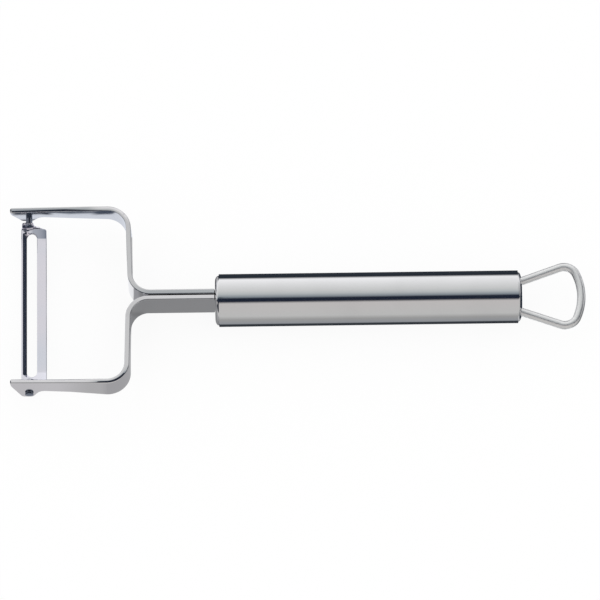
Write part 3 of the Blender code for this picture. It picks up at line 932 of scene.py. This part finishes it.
@dataclass
class Blade(SubAssembly):
    """The pressed strip: two bars along a slot, and a tab bent up at either end.

    It is laid out flat first, s along the strip from its middle and w along X from the pivot.
    """

    thickness: float = 0.7 * MM
    rounding: float = 0.18 * MM
    drop: float = 2.4 * MM
    kink_deg: float = 11.2
    crown: float = 0.3 * MM
    bend_radius: float = 0.8 * MM
    cutting_bar_reach: float = 2.5 * MM
    guide_bar_reach: float = 5.2 * MM
    tab_front: float = 2.2 * MM
    tab_rear: float = 1.4 * MM
    tab_rise: float = 1.6 * MM
    tab_top_radius: float = 1.2 * MM
    bridge_slant: float = 1.3 * MM
    bridge_corner_radius: float = 1.6 * MM
    slot_width: float = 3.1 * MM
    slot_front_edge: float = 0.8 * MM
    slot_end_margin: float = 2.4 * MM
    bevel_width: float = 1.25 * MM
    bevel_angle_deg: float = 27.0
    bevel_run_out: float = 0.8 * MM
    bevel_overrun: float = 0.9 * MM
    bevel_fade: float = 6.0
    lift_fade: float = 1.6
    end_spacing: float = 0.2 * MM
    bar_spacing: float = 0.5 * MM
    corner_steps: int = 5
    spans: int = 48

    @property
    def tab_outer(self) -> float:
        """Distance from the middle plane to the tabs' outer faces."""
        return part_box("blade")[1].y

    @property
    def flat_end(self) -> float:
        """Where the bends start."""
        return self.tab_outer - self.thickness / 2 - self.bend_radius

    @property
    def bend_end(self) -> float:
        """Where the bends end, along the strip."""
        return self.flat_end + self.bend_radius * math.pi / 2

    @property
    def half_length(self) -> float:
        """Half the strip's length before it is bent."""
        return self.bend_end + self.tab_rise + self.drop - self.bend_radius

    @property
    def slot_half(self) -> float:
        """Half the slot's length."""
        return self.tab_outer - self.slot_end_margin

    @property
    def kink(self) -> float:
        """Where the slot's round end begins, and where the strip starts to rise towards its own end."""
        return self.slot_half - self.slot_width / 2

    def end_outline(self) -> Path:
        """Outline of the strip's right end from the cutting bar round the tab to the guide bar.

        Returns:
            The outline, whose points are complex(s, w).
        """
        corners = [
            complex(self.kink, -self.cutting_bar_reach),
            complex(self.bend_end - self.bridge_slant, -self.cutting_bar_reach),
            complex(self.bend_end, -self.tab_front),
            complex(self.half_length, -self.tab_front),
            complex(self.half_length, self.tab_rear),
            complex(self.bend_end, self.tab_rear),
            complex(self.bend_end - self.bridge_slant, self.guide_bar_reach),
            complex(self.kink, self.guide_bar_reach),
        ]
        top = self.tab_top_radius
        return Path.rounded(corners, [top, top, top, top, top / 2, top / 2, self.bridge_corner_radius])

    def rays(self) -> tuple[np.ndarray, np.ndarray]:
        """Ends of the lines that cross the metal, all the way round the slot.

        Round an end, a line points from the centre of the slot's end to a point of the outline. Along
        the bars it goes straight across.

        Returns:
            Points on the slot's edge and on the outline, as complex(s, w).
        """
        radius = self.slot_width / 2
        centre = complex(self.slot_half - radius, radius - self.slot_front_edge)
        outline = self.end_outline()
        outer_end, _ = outline.at(stations(self.end_spacing, outline.marks))
        inner_end = centre + radius * (outer_end - centre) / np.abs(outer_end - centre)
        last = centre.real - 2 * SUPPORT
        bar = np.linspace(last, -last, math.ceil(2 * last / self.bar_spacing))
        rear_inner = bar + 1j * (centre.imag + radius)
        rear_outer = bar + 1j * self.guide_bar_reach
        front_inner = -bar + 1j * (centre.imag - radius)
        front_outer = -bar - 1j * self.cutting_bar_reach
        inner = [inner_end, rear_inner, -np.conj(inner_end[::-1]), front_inner]
        outer = [outer_end, rear_outer, -np.conj(outer_end[::-1]), front_outer]
        return np.concatenate(inner), np.concatenate(outer)

    def ground_away(self, s: np.ndarray, w: np.ndarray) -> np.ndarray:
        """Depth that grinding takes off the upper face: a slope down to the slot's front edge.

        It starts one bevel width before the edge. It runs out at the slot's left end and a little past
        its right end: there it narrows, and it fades faster than it narrows.

        Args:
            s: distances along the strip.
            w: distances from the pivot.

        Returns:
            The depths.
        """
        past_edge = w + self.slot_front_edge
        end = self.slot_half + self.bevel_overrun * (s > 0.0)
        left = (end - np.maximum(past_edge, 0.0) - np.abs(s)) / self.bevel_run_out
        run = np.clip(left, 0.0, 1.0)
        on_bar = past_edge < self.slot_width / 2
        depth = slope(self.bevel_angle_deg) * np.maximum(past_edge + self.bevel_width * run, 0.0)
        return depth * np.clip(self.bevel_fade * run, 0.0, 1.0) * on_bar

    def strip(self) -> bpy.types.Mesh:
        """Carry a rounded section across the metal round the slot, then bend the ends up.

        In the bends, a point goes round by the distance past the bend's start over the radius. Past
        them it goes straight up. Its offset from the strip's middle face follows the turned normal. The
        guide bar's side also rises evenly from each kink, and the tab above takes that rise up again. The
        crown lowers both long edges by the square of the way to them from the middle.

        Returns:
            The blade's mesh.
        """
        inner, outer = self.rays()
        rounding = (self.rounding,) * 3
        section = BarSection(self.thickness, *rounding, steps=self.corner_steps, spans=self.spans)
        offset, share, along = section.ring()
        reach = np.abs(outer - inner)[:, None]
        place = inner[:, None] + (outer - inner)[:, None] * (share + along / reach)
        s, w = place.real, place.imag
        offset = np.minimum(offset, self.thickness / 2 - self.ground_away(s, w))
        past = np.abs(s) - self.flat_end
        turn = np.clip(past / self.bend_radius, 0.0, math.pi / 2)
        riser = np.maximum(np.abs(s) - self.bend_end, 0.0)
        middle = (self.guide_bar_reach - self.cutting_bar_reach) / 2
        half = (self.guide_bar_reach + self.cutting_bar_reach) / 2
        short_of_tab = (self.half_length - np.abs(s)) / (self.tab_rise + self.drop) - 1
        crown = self.crown * ((w - middle) / half) ** 2 * np.clip(short_of_tab, 0, 1)
        kinked = np.clip(np.abs(s) - self.kink, 0.0, self.flat_end - self.kink)
        settled = 1.0 - riser / (self.half_length - self.bend_end)
        across_slot = (w + self.slot_front_edge) / self.slot_width
        on_guide_side = np.clip(across_slot * self.lift_fade, 0.0, 1.0)
        lift = slope(self.kink_deg) * kinked * settled * on_guide_side
        arm = self.bend_radius - offset
        y = np.minimum(np.abs(s), self.flat_end) + arm * np.sin(turn)
        z = -self.drop + self.bend_radius - arm * np.cos(turn) + riser - crown + lift
        grid = np.stack([self.datum.pivot_x + w, np.sign(s) * y, self.datum.axis_z + z], axis=-1)
        return surface("swivel_blade_strip", grid, wrap_rows=True)

    def build(self) -> None:
        """Make the blade."""
        self.show("swivel_blade_strip", self.strip(), "blade")


@dataclass
class PivotPins(SubAssembly):
    """Headed pins through the ears, peened over inside the blade's tabs."""

    shank: float = 2.0 * MM
    head: float = 2.6 * MM
    head_thickness: float = 0.6 * MM
    head_rim: float = 0.25 * MM
    rivet: float = 2.4 * MM
    rivet_rise: float = 0.4 * MM
    tab_thickness: float = 0.7 * MM
    dome_points: int = 13
    steps: int = 64

    def profile(self, side: Side) -> np.ndarray:
        """Points (distance from the middle plane, radius) from the rivet's top to the head's.

        The rivet and the head are low domes, half an ellipse each. The head's stands on a short rim.

        Args:
            side: which pin.

        Returns:
            The points.
        """
        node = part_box(f"{side.word}_pivot_pin")
        head_end = max(abs(node[0].y), abs(node[1].y))
        rivet_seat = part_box("blade")[1].y - self.tab_thickness
        head_seat = head_end - self.head_thickness
        rise = self.head_thickness - self.head_rim
        turns = np.linspace(0.0, math.pi / 2, self.dome_points)
        along, across = np.cos(turns), np.sin(turns)
        rivet = np.stack([rivet_seat - self.rivet_rise * along, self.rivet / 2 * across], axis=1)
        head = np.stack([head_seat + self.head_rim + rise * along, self.head / 2 * across], axis=1)
        shank = [(rivet_seat, self.shank / 2), (head_seat, self.shank / 2), (head_seat, self.head / 2)]
        return np.concatenate([rivet, shank, head[::-1]])

    def build(self) -> None:
        """Make both pins."""
        start = self.datum.on_axis(self.datum.pivot_x)
        for side in Side:
            name = f"{side.word}_swivel_pin"
            axis = Vector((0.0, float(side.value), 0.0))
            mesh = revolved(name, self.profile(side), start, axis, self.steps)
            self.show(name, mesh, f"{side.word}_pivot_pin")


@dataclass(frozen=True)
class Glow:
    """A band of the surroundings that the steel mirrors.

    Angles are about the handle's axis, from the front horizon up over the top. The colours are those
    of the band's two ends.
    """

    start_deg: float
    end_deg: float
    first: Tone
    last: Tone


@dataclass(frozen=True)
class Window:
    """A part of the surroundings that the steel mirrors in one tone, as limits on where it is seen.

    A limit is a smooth step on one part of the direction: how far it goes right, to either side, back or
    up. The tone is absent at its first number and full at its second.
    """

    tone: Tone
    right: tuple[Pair, ...] = ()
    aside: tuple[Pair, ...] = ()
    back: tuple[Pair, ...] = ()
    up: tuple[Pair, ...] = ()

    def share(self, right: Value, back: Value, up: Value) -> Value:
        """How much of the tone shows in a direction, given by its parts: the product of the steps."""
        limits = ((right, self.right), (right.size(), self.aside), (back, self.back), (up, self.up))
        return math.prod(part.between(*step) for part, steps in limits for step in steps)


@dataclass(frozen=True)
class Patch:
    """A soft-edged rectangle of one tone under the yoke.

    Its millimetres are counted from the point of the floor that lies below the handle's front face. Its
    softness is half the width of the step at its sides, along X and along Y.
    """

    x: Pair
    y: Pair
    tone: Tone
    softness: Pair

    def share(self, x: Value, y: Value) -> Value:
        """How much of the patch shows at a place: the product of a smooth step at each of its sides."""
        sides = ((x, self.x, self.softness[0]), (y, self.y, self.softness[1]))
        return math.prod(
            place.between(low - soft, low + soft) * place.between(high + soft, high - soft)
            for place, (low, high), soft in sides)


@dataclass(frozen=True)
class Flag:
    """A dark upright sheet beside the yoke, square to the direction in which its two corners agree.

    Its millimetres are counted from the point of the floor that lies below the handle's front face.
    """

    name: str
    low: Place
    high: Place


@dataclass
class Studio:
    """Floor, light and camera."""

    datum: Datum
    distance: float = 2.5
    tilt_deg: float = 20.5
    roll_deg: float = 0.746
    pixels_per_mm: float = 3.298
    centre_from_front: float = 25.7 * MM
    centre_below_axis: float = 0.13 * MM
    clip: Pair = (0.05, 20.0)
    floor_size: float = 3.0
    floor_shadow: float = 0.10
    sheet_height: float = 0.05 * MM
    sheet_length: float = 75.0 * MM
    sheet_reach: float = 60.0 * MM
    under_yoke: Tone = (0.42, 0.42, 0.43)
    glows: tuple[Glow, ...] = (
        Glow(-110.5, -64.0, (0.037, 0.043, 0.052), (0.037, 0.043, 0.052)),
        Glow(-56.0, -25.0, (0.33, 0.345, 0.37), (0.40, 0.40, 0.395)),
        Glow(-5.0, 55.0, (0.60, 0.60, 0.59), (0.62, 0.595, 0.585)),
        Glow(64.0, 77.0, (0.013, 0.019, 0.036), (0.013, 0.019, 0.036)),
        Glow(83.0, 97.0, (0.25, 0.285, 0.32), (0.555, 0.585, 0.59)),
        Glow(110.0, 172.0, (0.69, 0.70, 0.695), (1.06, 1.06, 1.07)),
        Glow(186.0, 249.0, (0.02, 0.027, 0.038), (0.04, 0.048, 0.06)),
    )
    # Pale behind and low, paler steeply below, dark high on the right, and dark steeply below on the right.
    windows: tuple[Window, ...] = (
        Window(
            (0.75, 0.76, 0.78), aside=((0.12, 0.32),), back=((0.1, 0.3),), up=((-0.65, -0.45), (0.15, 0.0))),
        Window((0.86, 0.87, 0.885), aside=((0.06, 0.14), (0.46, 0.34)), up=((-0.45, -0.65),)),
        Window(DARK, right=((0.45, 0.6),), back=((-0.2, -0.1),), up=((0.2, 0.35), (0.85, 0.75))),
        Window(DARK, right=((0.12, 0.25),), back=((-0.2, 0.0),), up=((-0.35, -0.5),)),
    )
    yoke_patches: tuple[Patch, ...] = (
        # What the right arm mirrors: pale outside it and its dark band inside it, with the band's two ends.
        Patch((-70.0, -24.0), (24.0, 40.0), (0.73, 0.77, 0.84), (1.0, 0.3)),
        Patch((-61.5, -50.0), (15.0, 24.85), DARK, (1.5, 0.2)),
        Patch((-61.0, -30.0), (-24.0, 15.0), (0.10, 0.12, 0.16), (1.5, 1.0)),
        Patch((-60.0, -30.0), (15.0, 24.12), (0.08, 0.10, 0.135), (1.5, 0.3)),
        Patch((-36.8, -27.0), (15.0, 24.65), (0.05, 0.065, 0.10), (1.8, 0.2)),
        Patch((-60.0, -53.0), (26.4, 34.0), DARK_LINE, (0.8, 0.3)),
        # What the left arm mirrors, paler towards its tip.
        Patch((-70.0, -34.0), (-48.0, -27.0), (0.50, 0.50, 0.505), (2.0, 2.0)),
        Patch((-70.0, -43.0), (-48.0, -27.0), (0.62, 0.615, 0.63), (6.0, 2.0)),
        # What the neck and its two bends mirror.
        Patch((-40.0, -18.0), (-1.6, 3.0), (0.36, 0.365, 0.385), (1.2, 0.3)),
        Patch((-23.4, -18.0), (-4.6, -0.2), (0.12, 0.12, 0.13), (0.8, 0.8)),
        Patch((-28.0, -22.2), (-7.0, -0.8), (0.26, 0.265, 0.275), (0.8, 1.2)),
        Patch((-40.0, -25.0), (3.0, 12.0), (0.94, 0.95, 0.97), (0.6, 0.3)),
        # What the neck mirrors near the handle, with a dark line before the front plug.
        Patch((-1.8, 2.0), (-60.0, 60.0), DARK_LINE, (0.3, 0.3)),
        Patch((-14.0, 2.0), (1.0, 14.0), DARK_LINE, (1.5, 0.8)),
        Patch((-22.0, 2.0), (-14.0, -1.6), (0.28, 0.285, 0.29), (1.5, 0.4)),
    )
    flags: tuple[Flag, ...] = (
        Flag("flag_before_yoke", (-75.0, -31.0, 18.0), (-0.5, -31.0, 300.0)),
        Flag("flag_past_right_tip", (-70.0, 25.0, 4.0), (-70.0, 38.0, 26.0)),
        Flag("flag_past_left_tip", (-70.0, -32.0, 4.0), (-70.0, -20.0, 26.0)),
    )

    def camera(self) -> None:
        """Place the camera at the photograph's angle."""
        tilt = math.radians(self.tilt_deg)
        roll = math.radians(self.roll_deg)
        towards = Vector((0.0, -math.sin(tilt), math.cos(tilt)))
        level_up = Vector((0.0, math.cos(tilt), math.sin(tilt)))
        right = Vector((1.0, 0.0, 0.0)) * math.cos(roll) - level_up * math.sin(roll)
        up = towards.cross(right)
        target = self.datum.on_axis(self.datum.front_x + self.centre_from_front)
        target = target - up * self.centre_below_axis
        data = bpy.data.cameras.new("camera")
        field_width = PHOTO_PIXELS / self.pixels_per_mm * MM
        data.sensor_width = SENSOR_WIDTH_MM
        data.lens = data.sensor_width * self.distance / field_width
        data.clip_start, data.clip_end = self.clip
        turn = Matrix((right, up, towards)).transposed().to_4x4()
        camera = bpy.data.objects.new("camera", data)
        camera.matrix_world = Matrix.Translation(target + towards * self.distance) @ turn
        bpy.context.scene.collection.objects.link(camera)
        bpy.context.scene.camera = camera

    def sheet(self, name: str, corners: list[Place]) -> bpy.types.Object:
        """Add a flat four-sided face that is part of the stage.

        Args:
            name: the face's name.
            corners: its corners in order.

        Returns:
            The face's object.
        """
        mesh = bpy.data.meshes.new(name)
        mesh.from_pydata(corners, [], [(0, 1, 2, 3)])
        item = bpy.data.objects.new(name, mesh)
        bpy.context.scene.collection.objects.link(item)
        return item

    def level(self, name: str, low: Pair, high: Pair, z: float) -> bpy.types.Object:
        """A level rectangle between its low and its high corner that is part of the stage."""
        (x0, y0), (x1, y1) = low, high
        return self.sheet(name, [(x0, y0, z), (x1, y0, z), (x1, y1, z), (x0, y1, z)])

    def glowing(
        self, item: bpy.types.Object, start_x: float, tone: Tone, patches: tuple[Patch, ...] = (),
    ) -> None:
        """Give a sheet a light of its own that only reflections show.

        Args:
            item: the sheet.
            start_x: the x that its patches are measured from.
            tone: its colour where no patch lies.
            patches: what lies on it, each over those before.
        """
        material, graph = shaded(item.name)
        coordinates = graph.add("ShaderNodeTexCoord").outputs["Object"]
        place = graph.add("ShaderNodeSeparateXYZ", None, {0: coordinates})
        x = (Value(graph, place.outputs["X"]) - start_x) * (1 / MM)
        y = Value(graph, place.outputs["Y"]) * (1 / MM)
        color = (*tone, 1.0)
        for patch in patches:
            color = graph.mix_colors(patch.share(x, y), color, (*patch.tone, 1.0))
        glow = graph.add("ShaderNodeEmission", None, {"Color": color, "Strength": 1.0})
        graph.add("ShaderNodeOutputMaterial", None, {"Surface": glow.outputs[0]})
        item.data.materials.append(material)
        item.visible_camera = False
        item.visible_diffuse = False
        item.visible_shadow = False
        item.visible_transmission = False

    def floor(self) -> None:
        """Lay a white floor that keeps a faint shadow and that reflections don't show.

        It mixes its own white with a matt white that the studio lights.
        """
        half = self.floor_size / 2
        item = self.level("floor", (-half, -half), (half, half), 0.0)
        material, graph = shaded("floor_white")
        white = graph.add("ShaderNodeEmission", None, {"Color": WHITE, "Strength": 1.0})
        matt = graph.add("ShaderNodeBsdfDiffuse", None, {"Color": WHITE})
        shaders = {0: self.floor_shadow, 1: white.outputs[0], 2: matt.outputs[0]}
        mixed = graph.add("ShaderNodeMixShader", None, shaders)
        graph.add("ShaderNodeOutputMaterial", None, {"Surface": mixed.outputs[0]})
        item.data.materials.append(material)
        item.visible_glossy = False
        item.visible_diffuse = False

    def reflected(self) -> None:
        """Lay and stand the sheets that light or darken the steel near them."""
        front = self.datum.front_x
        low, high = (front - self.sheet_length, -self.sheet_reach), (front, self.sheet_reach)
        yoke = self.level("sheet_under_yoke", low, high, self.sheet_height)
        self.glowing(yoke, front, self.under_yoke, self.yoke_patches)
        for flag in self.flags:
            (x0, y0, z0), (x1, y1, z1) = mm(*flag.low), mm(*flag.high)
            corners = [(x0, y0, z0), (x1, y1, z0), (x1, y1, z1), (x0, y0, z1)]
            item = self.sheet(flag.name, [(front + x, y, z) for x, y, z in corners])
            self.glowing(item, front, DARK)

    def world(self) -> None:
        """Surround the peeler: a white backdrop, even light, and the bands and windows that it mirrors.

        A mirrored direction's angle about the X axis, counted from the first band's start and divided by
        the whole turn, is its place in the ramp. Each window lies over the bands and the windows before it.
        """
        world = bpy.data.worlds.new("studio")
        bpy.context.scene.world = world
        world.use_nodes = True
        graph = Graph(world.node_tree)
        direction = graph.add("ShaderNodeTexCoord").outputs["Generated"]
        parts = graph.add("ShaderNodeSeparateXYZ", None, {0: direction})
        right, back, up = (Value(graph, parts.outputs[axis]) for axis in "XYZ")
        start = self.glows[0].start_deg
        angle = up.angle_from(back * -1.0)
        place = (angle * (1 / math.tau) - start / TURN_DEG + 1.0).fraction()
        stops = [
            ((degrees - start) / TURN_DEG, tone)
            for glow in self.glows
            for degrees, tone in ((glow.start_deg, glow.first), (glow.end_deg, glow.last))
        ]
        mirrored = graph.ramp(place, stops)
        for window in self.windows:
            mirrored = graph.mix_colors(window.share(right, back, up), mirrored, (*window.tone, 1.0))
        light = graph.add("ShaderNodeLightPath")
        color = graph.mix_colors(Value(graph, light.outputs["Is Glossy Ray"]), WHITE, mirrored)
        background = graph.add("ShaderNodeBackground", None, {"Color": color, "Strength": 1.0})
        graph.add("ShaderNodeOutputWorld", None, {"Surface": background.outputs[0]})

    def build(self) -> None:
        """Set up the camera, the surroundings, the floor and what reflections show."""
        self.camera()
        self.world()
        self.floor()
        self.reflected()


def main() -> None:
    """Dress the peeler and set the studio round it."""
    logging.basicConfig(level=logging.INFO, format="%(name)s: %(message)s")
    bpy.context.scene.view_settings.view_transform = "Standard"
    datum = Datum.of_frame()
    Studio(datum).build()
    tube = SteelFinish("tube_polish", "polished_tube", grain=Grain.ALONG_X)
    strap = SteelFinish("strap_polish", "polished_strap", (0.79, 0.78, 0.795), 0.06, 0.11, line_height=6e-7)
    wire = SteelFinish("wire_polish", "polished_wire", (0.88, 0.88, 0.88), 0.38, 0.48, line_height=8e-7)
    ground = SteelFinish(
        "blade_grind", "blade_steel", (0.93, 0.895, 0.97), 0.07, 0.11,
        Grain.ALONG_Y, 4e-7, (0.91, 0.97, 0.99))
    # The pins' dark blue-grey tone is painted reflection: it stands in for the dark surroundings that the
    # pins mirror, not a colour of the steel.
    pin = SteelFinish("pin_turning", "pin_steel", (0.22, 0.25, 0.31), 0.10, 0.18, line_height=5e-7)
    assemblies = (
        Handle(datum, tube, Body.HANDLE),
        HangingLoop(datum, wire, Body.HANDLE),
        Yoke(datum, strap, Body.HANDLE),
        Blade(datum, ground, Body.BLADE, crease_deg=20.0),
        PivotPins(datum, pin, Body.BLADE),
    )
    for assembly in assemblies:
        assembly.build()


if __name__ == "__main__":
    main()
